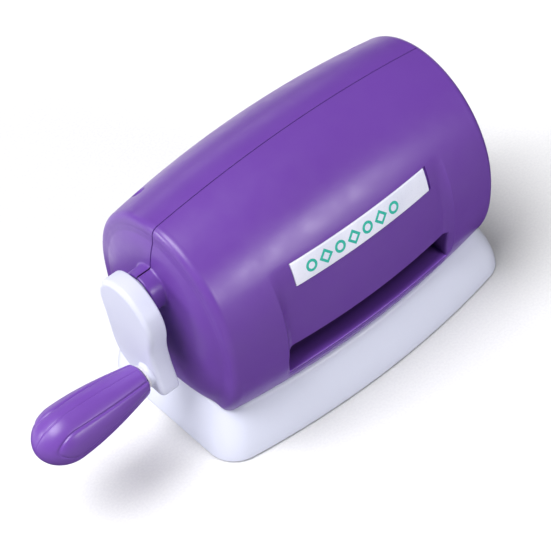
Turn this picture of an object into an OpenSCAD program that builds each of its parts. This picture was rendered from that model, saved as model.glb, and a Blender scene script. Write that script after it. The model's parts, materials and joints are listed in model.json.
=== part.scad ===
// Hand-cranked die cutting machine: a barrel-shaped body on a plinth, with a feed slot
// through it, two geared rollers inside and a crank with a turning grip on the left end.
// X runs along the rollers with the crank at -X, -Y is the front, Z is up, and the origin
// is the middle of the footprint, on the table.

/* [Body] */
// Length of the barrel between its two rims
body_len = 146; // [140:1:156]
// Half height of the barrel at its middle
body_half_h = 56; // [54:0.5:60]
// How much lower the barrel is at its ends
body_drop = 6; // [4:0.5:7]
// Depth of the barrel as a share of its height
depth_ratio = 0.85; // [0.82:0.01:0.92]
// Height of the barrel's centre above the table
axis_h = 61; // [61:0.5:63]
// Thickness of the moulded shells
wall = 2.6; // [2.2:0.1:2.8]

/* [Plinth] */
// Width of the plinth at the table
base_w = 164; // [162:1:176]
// Depth of the plinth at the table, at its middle
base_d = 98; // [97:1:108]
// Height of the plinth's deck
base_h = 25; // [25:0.5:26]

/* [Feed slot] */
// Width of the slot
slot_w = 90; // [84:1:91]
// Height of the slot's floor above the table
slot_floor = 34.5; // [34:0.1:35]
// Height of the slot's opening
slot_h = 16.3; // [15:0.1:17]
// Gap between the two rollers
nip = 10; // [9:0.5:10]

/* [Drive] */
// Radius of the rollers
roller_r = 12; // [11.5:0.5:12]
// Teeth on the crank's pinion
pinion_teeth = 12; // [12:1:12]
// Teeth on the roller's drive gear
drive_teeth = 24; // [24:1:24]
// Module of the drive pair
drive_module = 1.25; // [1.25:0.05:1.25]
// Teeth on each of the two gears that tie the rollers together
sync_teeth = 17; // [17:1:17]

/* [Crank] */
// Thickness of the crank arm
arm_t = 9; // [8:0.5:10]
// Length of the grip
grip_len = 53.9; // [48:0.1:60]
// Greatest radius of the grip
grip_r = 12.5; // [11:0.5:13]

/* [Hidden] */
$fn = 48;

// colours
purple = [0.40, 0.24, 0.65];
pale = [0.90, 0.91, 0.97];
steel = [0.75, 0.76, 0.78];
dark = [0.15, 0.15, 0.17];
bronze = [0.72, 0.52, 0.28];

// barrel
half_len = body_len / 2;
rim_r = 3.5;           // rounding of the rims
straight = half_len - rim_r;
end_rise = 4.6;        // how far the end faces bulge past the rims
end_flat = 0.95;       // the bulge starts at this share of the way out to the rim
end_shape = 5;         // how square the bulge is
lower_power = 2.4;     // squareness of the section below the centre
ring_points = 36;      // steps round half a section of the barrel

// the panel sunk into the front and the rear, above the slot
slot_top = slot_floor + slot_h;
panel_deep = 2.1;      // depth of the panel at the middle
panel_more = 1.1;      // how much deeper it is at its ends
panel_start = 32;      // height above the barrel's centre where the panel starts
panel_full = 6;        // height where it reaches its full depth
panel_half = 42;       // half width of the panel inside the slopes at its sides
panel_edge = 5.2;      // width of those slopes

// heights of the three shafts
lower_z = slot_floor + 3.5 - roller_r;
upper_z = lower_z + 2 * roller_r + nip;
crank_z = upper_z + drive_module * (pinion_teeth + drive_teeth) / 2;
sync_module = (upper_z - lower_z) / sync_teeth;

// along the shafts
roller_half = 46;      // half length of a roller
frame_x = 49;          // inner face of each side frame
frame_t = 3;
gear_x = 54.5;         // inner face of each gear
gear_t = 7;
gear_plate_x = 64;     // inner face of the gear plate
shaft_r = 5;
running = 0.05;        // radial clearance of a journal in its bush
bush_r = 7.5;
bush_flange_r = 9;
bush_flange_t = 1.5;

// crank
boss_r = 9.5;          // collar on the left end face, round the crank's hub
boss_x = 84;
hub_r = 7.5;
arm_x = 85.5;          // inner face of the arm
spline_r = 4;          // end of the crank shaft, pressed into the arm
grip_at = [-11.3, -32];  // the grip's axis from the crank's axis, as [y, z]
grip_x = arm_x + arm_t + 3.2;
pin_r = 3;
arm_outline = [[0, 11.6], [-5.9, 10.6], [-11.3, 7.5], [-15.7, 2.5], [-17.7, -3.5], [-17.7, -9],
               [-16.5, -16.5], [-17.1, -24], [-18.7, -31], [-20.2, -37], [-20, -39.6],
               [-17.4, -41.1], [-8, -40.2], [0.4, -38.2], [6.7, -34.2], [10.1, -27.2],
               [11.4, -18.6], [12.8, -9.6], [13.9, -4], [13.5, 1.2], [11, 6.5], [6.4, 10.3]];

// fixings
tie_at = [[-24, 14], [24, 14], [-24, 90], [24, 90]];       // [y, z]
standoff_at = [[-16, 46.5], [16, 46.5], [-16, 91], [16, 91]];   // [y, z]
shell_screw_at = [[-58, 100], [58, 100], [-67, 36.5], [67, 36.5]];  // [x, z]
deck_screw_at = [[-66, -21], [66, -21], [-66, 21], [66, 21]];     // [x, y]
base_screw_at = [[-72, -29], [72, -29], [-72, 29], [72, 29]];     // [x, y]
frame_screw_at = [[-43, -22], [43, -22], [-43, 22], [43, 22]];    // [x, y]
screw_r = 1.5;
screw_head_r = 2.8;
screw_head_h = 2;

// ---------- shapes from a formula ----------

// a closed solid through rings that all have the same number of points
module skin(rings) {
  n = len(rings[0]);
  m = len(rings);
  points = [for (ring = rings) each ring];
  sides = [for (i = [0 : m - 2], j = [0 : n - 1])
           each [[i * n + j, (i + 1) * n + j, i * n + (j + 1) % n],
                 [i * n + (j + 1) % n, (i + 1) * n + j, (i + 1) * n + (j + 1) % n]]];
  caps = [[for (j = [0 : n - 1]) j], [for (j = [n - 1 : -1 : 0]) (m - 1) * n + j]];
  polyhedron(points, concat(sides, caps));
}

function smooth(a, b, v) = let (s = max(0, min(1, (v - a) / (b - a)))) s * s * (3 - 2 * s);

// half height of the barrel at x
function half_height(x) = body_half_h - body_drop * pow(x / half_len, 2);

// depth of the sunk panel at x and at a height h above the barrel's centre
function panel_depth(x, h) =
  let (full = panel_deep + panel_more * pow(x / panel_half, 2),
       along = 1 - smooth(panel_half, panel_half + panel_edge, abs(x)),
       share = max(0, min(1, (panel_start - h) / (panel_start - panel_full))),
       down = pow(sin(90 * share), 1.3),
       under = smooth(slot_floor - axis_h, slot_floor - axis_h + slot_h / 2, h))
  full * along * down * under;

// one point of a section of half height hz and half depth hy at x; t is 0 at the top
function section_point(x, t, hy, hz) =
  let (s = sin(t), c = cos(t), p = c < 0 ? 2 / lower_power : 1,
       y = hy * sign(s) * pow(abs(s), p), z = hz * sign(c) * pow(abs(c), p))
  [x, y - sign(y) * panel_depth(x, z), axis_h + z];

// half of a section, on the side of positive y, that runs on past the middle to -back
function section(x, hy, hz, back) =
  concat([[x, -back, axis_h - hz]],
         [for (i = [0 : ring_points]) section_point(x, 180 - i * 180 / ring_points, hy, hz)],
         [[x, -back, axis_h + hz]]);

// rings of half the barrel, inside its surface by w, from one end to the other
function barrel_rings(w, back) =
  let (end_h = half_height(straight), r = rim_r - w,
       main = [for (x = [-straight, -58, -51, -47.2, -44.6, -42, -30, -15, 0,
                         15, 30, 42, 44.6, 47.2, 51, 58, straight])
               section(x, depth_ratio * half_height(x) - w, half_height(x) - w, back)],
       rim = function (side, a)
         section(side * (straight + r * sin(a)), depth_ratio * end_h - rim_r + r * cos(a),
                 end_h - rim_r + r * cos(a), back),
       dome = function (side, s)
         section(side * (half_len - w + end_rise * (1 - pow(s / end_flat, end_shape))),
                 (depth_ratio * end_h - rim_r) * s, (end_h - rim_r) * s, back),
       steps = [0.3, 0.55, 0.7, 0.8, 0.87, 0.92])
  concat([for (s = steps) dome(-1, s)],
         [for (a = [90, 60, 30]) rim(-1, a)],
         main,
         [for (a = [30, 60, 90]) rim(1, a)],
         [for (k = [len(steps) - 1 : -1 : 0]) dome(1, steps[k])]);

// outline of the plinth, inset by i: straight ends, bowed front and rear, round corners
function plinth_outline(i) =
  let (hw = base_w / 2 - i, r = 14 - i * 0.3, bow = 8.5, lean = 80, mid = base_d / 2 - i,
       edge = function (x) mid - bow * pow(x / hw, 2),
       xe = hw - r + r * cos(lean), cy = edge(xe) - r * sin(lean),
       corner = [for (a = [0 : lean / 8 : lean]) [hw - r + r * cos(a), cy + r * sin(a)]],
       front = [for (k = [1 : 5]) let (x = xe * (1 - k / 6)) [x, edge(x)]],
       quarter = concat(corner, front))
  concat(quarter, [[0, mid]], [for (k = [len(quarter) - 1 : -1 : 0]) [-quarter[k][0], quarter[k][1]]],
         [for (p = quarter) [-p[0], -p[1]]], [[0, -mid]],
         [for (k = [len(quarter) - 1 : -1 : 0]) [quarter[k][0], -quarter[k][1]]]);

function plinth_ring(i, z) = [for (p = plinth_outline(i)) [p[0], p[1], z]];

// inset of the plinth's side at height z: upright at the table, leaning in at the deck
plinth_lean = 8.2;
function plinth_inset(z) = plinth_lean * pow(z / base_h, 1.7);

// smooth closed curve through points, with k steps between each two
function closed_curve(p, k) =
  let (n = len(p))
  [for (i = [0 : n - 1], j = [0 : k - 1])
   let (t = j / k, a = p[(i + n - 1) % n], b = p[i], c = p[(i + 1) % n], d = p[(i + 2) % n])
   0.5 * (2 * b + (c - a) * t + (2 * a - 5 * b + 4 * c - d) * t * t
          + (3 * b - a - 3 * c + d) * t * t * t)];

// involute spur gear of m and z teeth, with one tooth on the first axis
tooth_height = 0.8;     // of the module, above and below the pitch circle
pressure = 20;
backlash = 0.2;
function inv(a) = tan(a) * 180 / PI - a;
module gear(m, z) {
  pitch = m * z / 2;
  base = pitch * cos(pressure);
  tip = pitch + tooth_height * m;
  root = pitch - 1.1 * m;
  start = max(base, root);
  half = 90 / z - backlash / pitch * 45 / PI + inv(pressure);
  flank = [for (k = [0 : 5]) let (r = start + (tip - start) * k / 5)
           [r, half - inv(acos(base / r))]];
  profile = concat([[root, half - inv(acos(base / start))]], flank);
  polygon([for (i = [0 : z - 1]) each concat(
    [for (p = profile) let (a = i * 360 / z - p[1]) [p[0] * cos(a), p[0] * sin(a)]],
    [for (k = [len(profile) - 1 : -1 : 0])
     let (a = i * 360 / z + profile[k][1]) [profile[k][0] * cos(a), profile[k][0] * sin(a)]])]);
}

// ---------- helpers ----------

// cylinder along X between two values of x, at [y, z]
module bar(x0, x1, r, at) {
  translate([min(x0, x1), at[0], at[1]]) rotate([0, 90, 0]) cylinder(h = abs(x1 - x0), r = r);
}

// cylinder along Y between two values of y, at [x, z]
module cross_bar(y0, y1, r, at) {
  translate([at[0], max(y0, y1), at[1]]) rotate([90, 0, 0]) cylinder(h = abs(y1 - y0), r = r);
}

// upright cylinder between two heights, at [x, y]
module post(z0, z1, r, at) {
  translate([at[0], at[1], z0]) cylinder(h = z1 - z0, r = r);
}

// gear blank on a shaft at height z, turned by turn degrees about X, with its bore
module shaft_gear(m, z_count, x0, height, turn) {
  translate([x0, 0, height]) rotate([turn, 0, 0]) rotate([0, 90, 0])
    difference() {
      linear_extrude(gear_t) gear(m, z_count);
      translate([0, 0, -1]) cylinder(h = gear_t + 2, r = shaft_r);
    }
}

// bush with a flange on the side that x_flange points to, through a plate from x0 to x1
module bush(x0, x1, side, at) {
  face = side < 0 ? min(x0, x1) : max(x0, x1);
  difference() {
    union() {
      bar(x0, x1, bush_r, at);
      bar(face, face + side * bush_flange_t, bush_flange_r, at);
    }
    bar(min(x0, x1) - 5, max(x0, x1) + 5, shaft_r + running, at);
  }
}

// spring clip round a shaft at x0
clip_t = 1;
module clip(x0, at) {
  difference() {
    bar(x0, x0 + clip_t, shaft_r + 2, at);
    bar(x0 - 1, x0 + clip_t + 1, shaft_r - 0.6, at);
    translate([x0 - 1, at[0] - 1.5, at[1]]) cube([clip_t + 2, 3, shaft_r + 5]);
  }
}

// groove that the clip snaps into
module clip_groove(x0, at) {
  difference() {
    bar(x0, x0 + clip_t, shaft_r + 1, at);
    bar(x0 - 1, x0 + clip_t + 1, shaft_r - 0.6, at);
  }
}

// pan-head screw with its head's underside at the origin, pointing along +Z
module screw(length) {
  translate([0, 0, -screw_head_h]) difference() {
    cylinder(h = screw_head_h, r = screw_head_r);
    translate([-2, -0.4, -1]) cube([4, 0.8, 1.8]);
    translate([-0.4, -2, -1]) cube([0.8, 4, 1.8]);
  }
  cylinder(h = length, r = screw_r);
}

// ---------- shells ----------

module slot_duct() {
  duct_wall = 2;
  translate([-slot_w / 2 - duct_wall, 31, slot_floor - duct_wall])
    cube([slot_w + 2 * duct_wall, 30, slot_h + 2 * duct_wall]);
}

// the half at positive y; the crank's boss stands on the left
module shell_half() {
  difference() {
    union() {
      intersection() {
        skin(barrel_rings(0, 2));
        union() {
          difference() {
            translate([-100, -1.5, base_h]) cube([200, 80, 120]);
            skin(barrel_rings(wall, 3));
          }
          slot_duct();
          for (p = shell_screw_at) cross_bar(-1.2, 60, 4, p);
          for (p = deck_screw_at) post(base_h, base_h + 13, 4, [p[0], abs(p[1])]);
        }
      }
      bar(-70, -boss_x, boss_r, [0, crank_z]);
    }
    translate([-100, -20, 0]) cube([200, 20, 150]);
    bar(-60, -boss_x - 1, hub_r + 0.5, [0, crank_z]);
    translate([-slot_w / 2, 20, slot_floor]) cube([slot_w, 50, slot_h]);
    for (p = deck_screw_at) post(base_h - 1, base_h + 8, screw_r, [p[0], abs(p[1])]);
  }
}

screw_seat_y = 14;      // where the heads of the shell screws sit in the rear shell
module front_shell() {
  color(purple) difference() {
    mirror([0, 1, 0]) shell_half();
    front_slab(label_depth, 3, 0.3);
    for (p = shell_screw_at) cross_bar(-12, 1, screw_r, p);
  }
}

module rear_shell() {
  color(purple) difference() {
    shell_half();
    for (p = shell_screw_at) {
      cross_bar(-1, screw_seat_y + 1, screw_r + 0.2, p);
      cross_bar(screw_seat_y, 60, screw_head_r + 0.3, p);
    }
  }
}

module shell_screws() {
  color(steel) for (p = shell_screw_at)
    translate([p[0], screw_seat_y, p[1]]) rotate([90, 0, 0]) screw(screw_seat_y + 11);
}

// name plate sunk into the front of the barrel, following its curve
label_half = 36.7;
label_low = 20.2;
label_high = 30.8;
label_depth = 0.6;
label_proud = 0.3;
// a slab on the barrel's front from depth in to height out, larger all round by grow
module front_slab(deep, proud, grow) {
  low = label_low - grow;
  high = label_high + grow;
  at = function (x, h, out)
    let (hz = half_height(x), hy = depth_ratio * hz)
    [x, -(hy * sqrt(1 - pow(h / hz, 2)) - panel_depth(x, h) + out), axis_h + h];
  row = function (x)
    concat([for (k = [0 : 6]) at(x, low + (high - low) * k / 6, -deep)],
           [for (k = [6 : -1 : 0]) at(x, low + (high - low) * k / 6, proud)]);
  skin([for (k = [-8 : 8]) row((label_half + grow) * k / 8)]);
}

module label_plate() {
  color(pale) front_slab(label_depth - 0.02, label_proud, 0);
}

// ---------- plinth ----------

plinth_foot = 0.8;      // clearance of the plinth's rim above the table
plate_low = 2;
plate_high = 5;
module base_plinth() {
  skirt = 3;
  color(pale) difference() {
    union() {
      difference() {
        skin([for (z = [plinth_foot, 6, 12, 17, 21, base_h]) plinth_ring(plinth_inset(z), z)]);
        skin([for (z = [-1, 6, 12, 17, 21.5]) plinth_ring(skirt + plinth_inset(max(z, 0)), z)]);
      }
      for (p = base_screw_at) post(plate_high, 19, 3.5, p);
    }
    translate([-63, -30, 10]) cube([126, 60, 30]);
    translate([-66, -8, 10]) cube([132, 16, 30]);
    for (p = deck_screw_at) post(0, base_h + 1, screw_r + 0.2, p);
    for (p = base_screw_at) post(0, 15, screw_r, p);
  }
}

module base_plate() {
  color(dark) difference() {
    skin([for (z = [plate_low, plate_high]) plinth_ring(4.2, z)]);
    for (p = concat(base_screw_at, frame_screw_at)) {
      post(0, 10, screw_r + 0.2, p);
      post(0, plate_low + 2.1, screw_head_r + 0.3, p);
    }
  }
}

module anti_slip_ring() {
  color(dark) difference() {
    skin([for (z = [0, plate_low]) plinth_ring(7, z)]);
    skin([for (z = [-1, plate_low + 1]) plinth_ring(17, z)]);
    for (p = base_screw_at) post(-1, 10, screw_head_r + 0.6, p);
  }
}

// ---------- frames ----------

flange_len = 12;
module side_frame(side, shafts) {
  x0 = side < 0 ? -frame_x - frame_t : frame_x;
  color(steel) difference() {
    union() {
      translate([x0, -29, plate_high]) cube([frame_t, 58, 83]);
      bar(x0, x0 + frame_t, 8, [-21, 88]);
      bar(x0, x0 + frame_t, 8, [21, 88]);
      translate([x0, -21, 80]) cube([frame_t, 42, 16]);
      translate([side < 0 ? x0 : x0 - flange_len, -29, plate_high])
        cube([frame_t + flange_len, 58, frame_t]);
    }
    for (z = shafts) bar(x0 - 1, x0 + frame_t + 1, bush_r, [0, z]);
    for (p = tie_at) bar(x0 - 1, x0 + frame_t + 1, screw_r, p);
    if (side < 0) for (p = standoff_at) bar(x0 - 1, x0 + frame_t + 1, 2.5, p);
    for (p = frame_screw_at) post(0, 20, screw_r, p);
  }
}

module gear_plate() {
  x0 = -gear_plate_x - frame_t;
  color(steel) difference() {
    union() {
      translate([x0, -16, 42]) cube([frame_t, 32, 54]);
      for (p = standoff_at) bar(x0, x0 + frame_t, 5, p);
    }
    for (z = [upper_z, crank_z]) bar(x0 - 1, x0 + frame_t + 1, bush_r, [0, z]);
    for (p = standoff_at) bar(x0 - 1, x0 + frame_t + 1, screw_r + 0.1, p);
  }
}

// spacers riveted into the left frame
module standoffs() {
  left = -frame_x - frame_t;
  color(steel) for (p = standoff_at) difference() {
    union() {
      bar(-gear_plate_x, left, 4, p);
      bar(left, -frame_x, 2.5, p);
      bar(-frame_x, -frame_x + 1, 3.5, p);
    }
    bar(-gear_plate_x - 1, -gear_plate_x + 8, screw_r, p);
  }
}

module standoff_screws() {
  color(steel) for (p = standoff_at)
    translate([-gear_plate_x - frame_t, p[0], p[1]]) rotate([0, 90, 0]) screw(frame_t + 7.5);
}

module tie_rods() {
  color(steel) for (p = tie_at) difference() {
    bar(-frame_x, frame_x, 4, p);
    for (s = [-1, 1]) bar(s * (frame_x + 1), s * (frame_x - 9), screw_r, p);
  }
}

module tie_rod_screws() {
  color(steel) for (p = tie_at, s = [-1, 1])
    translate([s * (frame_x + frame_t), p[0], p[1]]) rotate([0, -s * 90, 0]) screw(frame_t + 8);
}

// shelf that carries the cutting plates from the slot to the rollers
module feed_guide(side) {
  color(dark) difference() {
    translate([-frame_x, side < 0 ? -30.5 : 13.5, slot_floor]) cube([2 * frame_x, 17, 3]);
    translate([-frame_x - 1, side < 0 ? -14.5 : 12.5, slot_floor + 2.2]) cube([2 * frame_x + 2, 2, 3]);
  }
}

// ---------- bushes, rollers and gears ----------

module frame_bushes(z) {
  color(bronze) for (s = [-1, 1]) bush(s * (frame_x + frame_t), s * frame_x, -s, [0, z]);
}

module gear_plate_bushes() {
  color(bronze) for (z = [upper_z, crank_z])
    bush(-gear_plate_x - frame_t, -gear_plate_x, -1, [0, z]);
}

module crank_bush() {
  color(bronze) bush(-frame_x - frame_t, -frame_x, 1, [0, crank_z]);
}

upper_ends = [-69.5, 64];
lower_ends = [-55, 64];
upper_clips = [62];
lower_clips = [-53.5, 62];
module roller(z, ends, clips) {
  color(steel) difference() {
    union() {
      bar(-roller_half, roller_half, roller_r, [0, z]);
      bar(ends[0], ends[1], shaft_r, [0, z]);
    }
    for (x = clips) clip_groove(x, [0, z]);
  }
}

module roller_clips(z, clips) {
  color(steel) for (x = clips) clip(x, [0, z]);
}

// half a tooth of turn sets a gap of the drive gear against the pinion's tooth
module drive_gear() {
  color(pale) shaft_gear(drive_module, drive_teeth, -gear_x - gear_t, upper_z, 180 / drive_teeth);
}

module drive_pinion() {
  color(steel) shaft_gear(drive_module, pinion_teeth, -gear_x - gear_t, crank_z, 0);
}

module sync_gear(height) {
  color(pale) shaft_gear(sync_module, sync_teeth, gear_x, height, 0);
}

// ---------- crank ----------

crank_clip_x = -53.6;
module crank_shaft() {
  color(steel) difference() {
    union() {
      bar(-47, -arm_x, shaft_r, [0, crank_z]);
      bar(-arm_x, -arm_x - arm_t + 2, spline_r, [0, crank_z]);
    }
    clip_groove(crank_clip_x, [0, crank_z]);
  }
}

module crank_clip() {
  color(steel) clip(crank_clip_x, [0, crank_z]);
}

grip_axis = [grip_at[0], crank_z + grip_at[1]];
module crank_arm() {
  color(pale) difference() {
    union() {
      translate([-arm_x, 0, crank_z]) rotate([0, -90, 0]) rotate([0, 0, 90])
        linear_extrude(arm_t) polygon([for (p = closed_curve(arm_outline, 4)) [p[0], -p[1]]]);
      bar(-arm_x, -boss_x + 3, hub_r, [0, crank_z]);
      bar(-arm_x - arm_t, -grip_x + 1.2, 5.4, grip_axis);
    }
    bar(-boss_x + 4, -arm_x, shaft_r, [0, crank_z]);
    bar(-arm_x + 1, -arm_x - arm_t + 2, spline_r, [0, crank_z]);
    bar(-arm_x - 1, -grip_x, pin_r - 0.5, grip_axis);
  }
}

// steel pin that the grip turns on, screwed into the arm
pin_end = grip_x + 40;
ring_x = grip_x + 36;
module grip_pin() {
  color(steel) difference() {
    union() {
      bar(-arm_x - 1, -grip_x + 1.5, pin_r - 0.5, grip_axis);
      bar(-grip_x + 1.5, -pin_end, pin_r, grip_axis);
    }
    difference() {
      bar(-ring_x, -ring_x - 1, pin_r + 1, grip_axis);
      bar(-ring_x + 1, -ring_x - 2, pin_r - 0.5, grip_axis);
    }
  }
}

module grip_washer() {
  color(dark) difference() {
    bar(-grip_x + 1.2, -grip_x + 0.3, 5.4, grip_axis);
    bar(-grip_x + 3, -grip_x - 1, pin_r, grip_axis);
  }
}

module grip_snap_ring() {
  color(steel) difference() {
    bar(-ring_x, -ring_x - 1, pin_r + 1.5, grip_axis);
    bar(-ring_x + 1, -ring_x - 2, pin_r - 0.5, grip_axis);
    translate([-ring_x - 2, grip_axis[0] - 1, grip_axis[1]]) cube([3, 2, 8]);
  }
}

// radius of the grip at a share s of its length: slim at the arm, full near the round tip
neck_r = 6.9;
function grip_radius(s) =
  let (body = neck_r + (grip_r - neck_r) * smooth(-0.25, 0.78, s),
       tip = s < 0.72 ? 1 : sqrt(max(0, 1 - pow((s - 0.72) / 0.28, 2))))
  body * tip;

module crank_grip() {
  color(purple) translate([-grip_x, grip_axis[0], grip_axis[1]]) rotate([0, -90, 0])
    difference() {
      rotate_extrude()
        polygon(concat([[0, 0]], [for (k = [0 : 25]) [grip_radius(k / 25), grip_len * k / 25]]));
      translate([0, 0, -1]) cylinder(h = 37, r = pin_r + running);
      translate([0, 0, 35.5]) cylinder(h = 2.5, r = pin_r + 2);
      translate([0, 0, 37]) cylinder(h = 4, r = pin_r + 0.3);
    }
}

// ---------- screws through the base ----------

module deck_screws() {
  color(steel) for (p = deck_screw_at) translate([p[0], p[1], base_h - 3.5]) screw(11);
}

module base_screws() {
  color(steel) for (p = base_screw_at) translate([p[0], p[1], plate_low + 2.1]) screw(10);
}

module frame_screws() {
  color(steel) for (p = frame_screw_at) translate([p[0], p[1], plate_low + 2.1]) screw(5);
}

front_shell();
rear_shell();
label_plate();
base_plinth();
base_plate();
anti_slip_ring();
side_frame(-1, [lower_z, upper_z, crank_z]);  // left_frame
side_frame(1, [lower_z, upper_z]);  // right_frame
gear_plate();
standoffs();
standoff_screws();
tie_rods();
tie_rod_screws();
feed_guide(-1);  // front_feed_guide
feed_guide(1);  // rear_feed_guide
frame_bushes(upper_z);  // upper_bushes
frame_bushes(lower_z);  // lower_bushes
gear_plate_bushes();
crank_bush();
roller(upper_z, upper_ends, upper_clips);  // upper_roller
roller(lower_z, lower_ends, lower_clips);  // lower_roller
drive_gear();
drive_pinion();
sync_gear(upper_z);  // upper_sync_gear
sync_gear(lower_z);  // lower_sync_gear
roller_clips(upper_z, upper_clips);  // upper_roller_clips
roller_clips(lower_z, lower_clips);  // lower_roller_clips
crank_shaft();
crank_clip();
crank_arm();
grip_pin();
grip_washer();
grip_snap_ring();
crank_grip();
shell_screws();
deck_screws();
base_screws();
frame_screws();
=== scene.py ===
import json
import math

import bmesh
import bpy
from mathutils import Matrix, Vector


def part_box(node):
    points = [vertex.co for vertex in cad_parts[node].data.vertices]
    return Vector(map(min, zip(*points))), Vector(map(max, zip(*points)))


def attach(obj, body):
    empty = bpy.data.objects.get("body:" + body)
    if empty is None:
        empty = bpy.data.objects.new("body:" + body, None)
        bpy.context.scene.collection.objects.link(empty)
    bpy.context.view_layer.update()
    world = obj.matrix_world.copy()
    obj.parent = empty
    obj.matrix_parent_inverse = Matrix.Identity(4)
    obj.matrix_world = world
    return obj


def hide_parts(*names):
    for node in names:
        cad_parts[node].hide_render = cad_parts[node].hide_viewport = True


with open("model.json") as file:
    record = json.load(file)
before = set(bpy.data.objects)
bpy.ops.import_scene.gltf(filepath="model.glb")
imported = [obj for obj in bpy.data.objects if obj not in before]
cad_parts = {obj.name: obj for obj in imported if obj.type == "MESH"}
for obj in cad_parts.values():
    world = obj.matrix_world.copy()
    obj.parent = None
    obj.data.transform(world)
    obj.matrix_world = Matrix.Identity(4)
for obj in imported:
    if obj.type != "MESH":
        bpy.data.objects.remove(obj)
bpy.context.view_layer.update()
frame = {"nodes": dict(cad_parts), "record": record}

# ---------- places, from the frame ----------

MM = 0.001
joints = {j["name"]: j for j in frame["record"]["behaviour"]["joints"]}
crank_axis = Vector(joints["crank_turn"]["pos_m"])
grip_axis = Vector(joints["grip_spin"]["pos_m"])
shell_low, shell_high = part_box("rear_shell")
grip_low, grip_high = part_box("crank_grip")
plinth_low, plinth_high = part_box("base_plinth")
label_low, label_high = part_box("label_plate")
washer_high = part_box("grip_washer")[1]
slot_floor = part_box("front_feed_guide")[0].z

# ---------- the barrel's form, in millimetres from its centre ----------

HALF_H = 56.0           # half height at the middle
DROP = 6.0              # how much lower it is at the rims
HALF_LEN = 73.0
DEPTH = 0.85            # depth as a share of height
POWER = 2.4             # squareness of the section below the centre
RIM_R = 3.5             # rounding of the rims
RIM_OUT = 0.35          # how far the rims stand past the half length
END_RISE = 4.6          # how far an end face bulges past its rim
END_STEP = 0.38         # step down from the rim to the bulge
SLOT_H = 16.3
SLOT_X = 45.0           # half width of the slot
SLOT_CORNER = 1.0
LIP_R = 0.8             # rounding of the slot's edge
PANEL_X = (42.0, 47.2)  # where the panel's side slope ends and starts
PANEL_TOP = 32.0        # heights where the panel starts and where it is at its full depth
PANEL_FULL = 6.0
PANEL_DEEP = 2.1        # depth of the panel at the middle
PANEL_MORE = 1.1        # how much deeper it is at its ends
WALL_Y = 31.0           # inner end of the slot's duct
POCKET = 0.9            # depth of the label's pocket
SCREWS = [(58.0, 39.0), (67.0, -24.5)]  # rear screws: distance from the middle and height
SCREW_R = 3.1
SCREW_EDGE = 0.6        # rounding of the screw holes
SEAT_Y = 14.0           # where the screws' heads sit
BOSS_R = 9.5            # collar on the crank's end face
BOSS_FOOT = 1.1         # fillet at its foot
BOSS_EDGE = 0.7         # rounding of its edge
BORE_DEEP = 9.0         # how far the bore in it is modelled

centre_z = shell_high.z / MM - HALF_H
foot_h = shell_low.z / MM - centre_z
slot_low = slot_floor / MM - centre_z
slot_high = slot_low + SLOT_H
boss_h = crank_axis.z / MM - centre_z
straight = HALF_LEN - RIM_R


def half_height(x):
    """Half height of the barrel at x."""
    return HALF_H - DROP * (x / HALF_LEN) ** 2


def smooth(a, b, v):
    """0 at a, 1 at b and eased in between."""
    s = max(0.0, min(1.0, (v - a) / (b - a)))
    return s * s * (3 - 2 * s)


def section(turn, half_y, half_z):
    """Distance from the middle and height at an angle from the top of a section."""
    s, c = math.sin(turn), math.cos(turn)
    p = 2 / POWER if c < 0 else 1
    return half_y * abs(s) ** p, math.copysign(half_z * abs(c) ** p, c)


def turn_at(h, half_z):
    """Angle from the top of a section at a height."""
    share = min(1.0, abs(h) / half_z)
    return math.acos(share) if h >= 0 else math.acos(-(share ** (POWER / 2)))


def side_slope(x):
    """1 on the panel, 0 outside it: crisp where the slope starts, soft where it ends."""
    v = (PANEL_X[1] - abs(x)) / (PANEL_X[1] - PANEL_X[0])
    return math.sin(max(0.0, min(1.0, v)) * math.pi / 2)


def panel_depth(x, h):
    """How far the sunk panel lies below the barrel."""
    full = PANEL_DEEP + PANEL_MORE * (x / PANEL_X[0]) ** 2
    down = max(0.0, min(1.0, (PANEL_TOP - h) / (PANEL_TOP - PANEL_FULL)))
    under = smooth(slot_low - 2, slot_low + SLOT_H / 2, h)
    return full * side_slope(x) * math.sin(down * math.pi / 2) ** 1.3 * under


def lip_groove(x, h):
    """Fine line pressed in under the slot's lower lip."""
    across = 1 - smooth(SLOT_X - 1, SLOT_X + 1.5, abs(x))
    return 0.3 * across * math.exp(-(((h - slot_low + 2.6) / 0.45) ** 2))


def barrel_y(x, h, half_y=None, half_z=None):
    """Distance of the barrel's surface from the middle at x and at height h."""
    half_z = half_z or half_height(x)
    half_y = half_y or DEPTH * half_height(x)
    y, _ = section(turn_at(h, half_z), half_y, half_z)
    return y - panel_depth(x, h) - lip_groove(x, h)


END_Z = half_height(straight) - RIM_R
END_Y = DEPTH * half_height(straight) - RIM_R


def end_x(y, h):
    """How far out an end face stands at a place on it."""
    p = 2 if h >= 0 else POWER
    s = ((abs(y) / END_Y) ** p + (abs(h) / END_Z) ** p) ** (1 / p)
    inside = 1 - (s / 0.95) ** 5
    bulge = END_RISE / 2 * (inside + math.hypot(inside, 0.15))
    step = END_STEP * smooth(0.955, 0.905, s)
    return HALF_LEN + RIM_OUT - step + bulge


# ---------- mesh tools ----------


def ladder(marks, steps):
    """Values through all the marks, no further apart than the step given for each gap."""
    out = [marks[0]]
    for a, b, step in zip(marks, marks[1:], steps):
        n = max(1, math.ceil(abs(b - a) / step - 1e-9))
        out += [a + (b - a) * k / n for k in range(1, n + 1)]
    return out


def add_grid(bm, rows, closed=False, skip=None):
    """Quads between rows of points; skip(i, j) leaves one out."""
    verts = [[bm.verts.new(p) for p in row] for row in rows]
    wide = len(rows[0])
    for i in range(len(rows) - 1):
        for j in range(wide if closed else wide - 1):
            if skip and skip(i, j):
                continue
            k = (j + 1) % wide
            bm.faces.new((verts[i][j], verts[i][k], verts[i + 1][k], verts[i + 1][j]))
    return verts


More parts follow.
